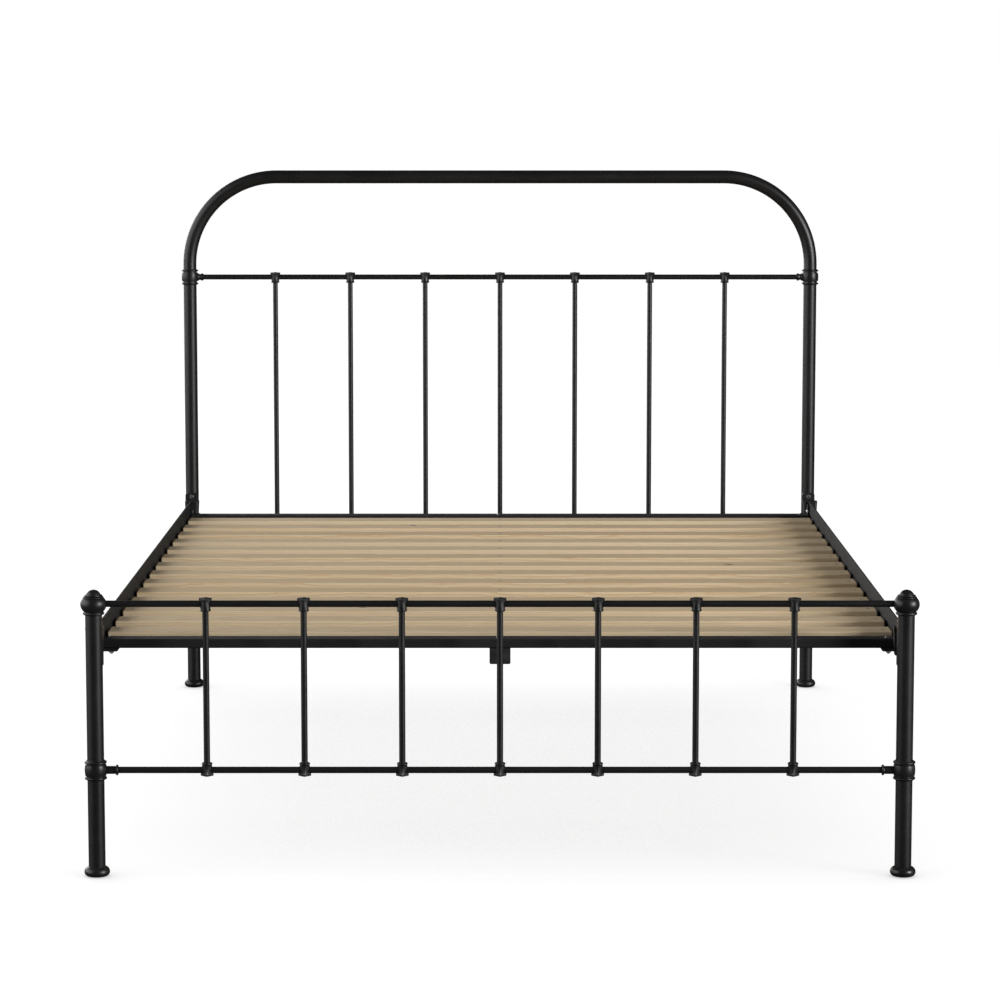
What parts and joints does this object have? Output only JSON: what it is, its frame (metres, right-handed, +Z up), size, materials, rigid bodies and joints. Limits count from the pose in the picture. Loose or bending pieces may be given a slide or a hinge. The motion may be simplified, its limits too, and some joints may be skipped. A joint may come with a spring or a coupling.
{
  "type": "metal bed frame",
  "caption": "Metal bed frame with a hooped spindle headboard, a low spindle footboard with ball finials, cast joints and a lift-off slatted base.",
  "frame": {"origin": "on the floor, at the centre of the bed's overall box", "axes": "+X across the bed, +Y from the footboard to the headboard, +Z up"},
  "size_m": [1.5798, 2.1098, 1.287],
  "materials": {
    "tube_paint": "satin black powder coat on drawn steel tube and rod",
    "casting_paint": "satin black powder coat on cast joints, slightly pebbled",
    "base_paint": "flatter black powder coat on angle iron and box tube",
    "slat_wood": "planed, unvarnished softwood",
    "fastener_steel": "zinc-plated screws, bolts and rivets",
    "glide_plastic": "moulded plastic tube caps and foot glides"
  },
  "bodies": {
    "headboard": {"headboard_hoop": "tube_paint", "headboard_upper_collar_left": "casting_paint", "headboard_upper_collar_right": "casting_paint", "headboard_lower_collar_left": "casting_paint", "headboard_lower_collar_right": "casting_paint", "headboard_upper_rail": "tube_paint", "headboard_lower_rail": "tube_paint", "headboard_spindle_1": "tube_paint", "headboard_spindle_2": "tube_paint", "headboard_spindle_3": "tube_paint", "headboard_spindle_4": "tube_paint", "headboard_spindle_5": "tube_paint", "headboard_spindle_6": "tube_paint", "headboard_spindle_7": "tube_paint", "headboard_foot_left": "casting_paint", "headboard_foot_right": "casting_paint", "headboard_bracket_left": "casting_paint", "headboard_bracket_right": "casting_paint"},
    "mattress_base": {"side_rail_left": "base_paint", "side_rail_right": "base_paint", "rail_end_foot_left": "casting_paint", "rail_end_foot_right": "casting_paint", "rail_end_head_left": "casting_paint", "rail_end_head_right": "casting_paint", "cross_rail_foot": "base_paint", "cross_rail_head": "base_paint", "centre_rail": "base_paint", "slat_1": "slat_wood", "slat_2": "slat_wood", "slat_3": "slat_wood", "slat_4": "slat_wood", "slat_5": "slat_wood", "slat_6": "slat_wood", "slat_7": "slat_wood", "slat_8": "slat_wood", "slat_9": "slat_wood", "slat_10": "slat_wood", "slat_11": "slat_wood", "slat_12": "slat_wood", "slat_13": "slat_wood", "slat_14": "slat_wood"},
    "footboard": {"footboard_post_left": "tube_paint", "footboard_post_right": "tube_paint", "footboard_finial_left": "casting_paint", "footboard_finial_right": "casting_paint", "footboard_collar_left": "casting_paint", "footboard_collar_right": "casting_paint", "footboard_top_rail": "tube_paint", "footboard_lower_rail": "tube_paint", "footboard_spindle_1": "tube_paint", "footboard_spindle_2": "tube_paint", "footboard_spindle_3": "tube_paint", "footboard_spindle_4": "tube_paint", "footboard_spindle_5": "tube_paint", "footboard_spindle_6": "tube_paint", "footboard_spindle_7": "tube_paint", "footboard_foot_left": "casting_paint", "footboard_foot_right": "casting_paint", "footboard_bracket_left": "casting_paint", "footboard_bracket_right": "casting_paint"}
  },
  "joints": [
    {"name": "base_lift", "type": "slide", "parent": "headboard", "child": "mattress_base", "axis": [0, 0, 1], "range_m": [0, 0.06]},
    {"name": "footboard_release", "type": "slide", "parent": "mattress_base", "child": "footboard", "axis": [0, 0, -1], "range_m": [0, 0.06]}
  ],
  "couplings": [
    {"joint": "footboard_release", "follows": "base_lift", "ratio": 1}
  ]
}
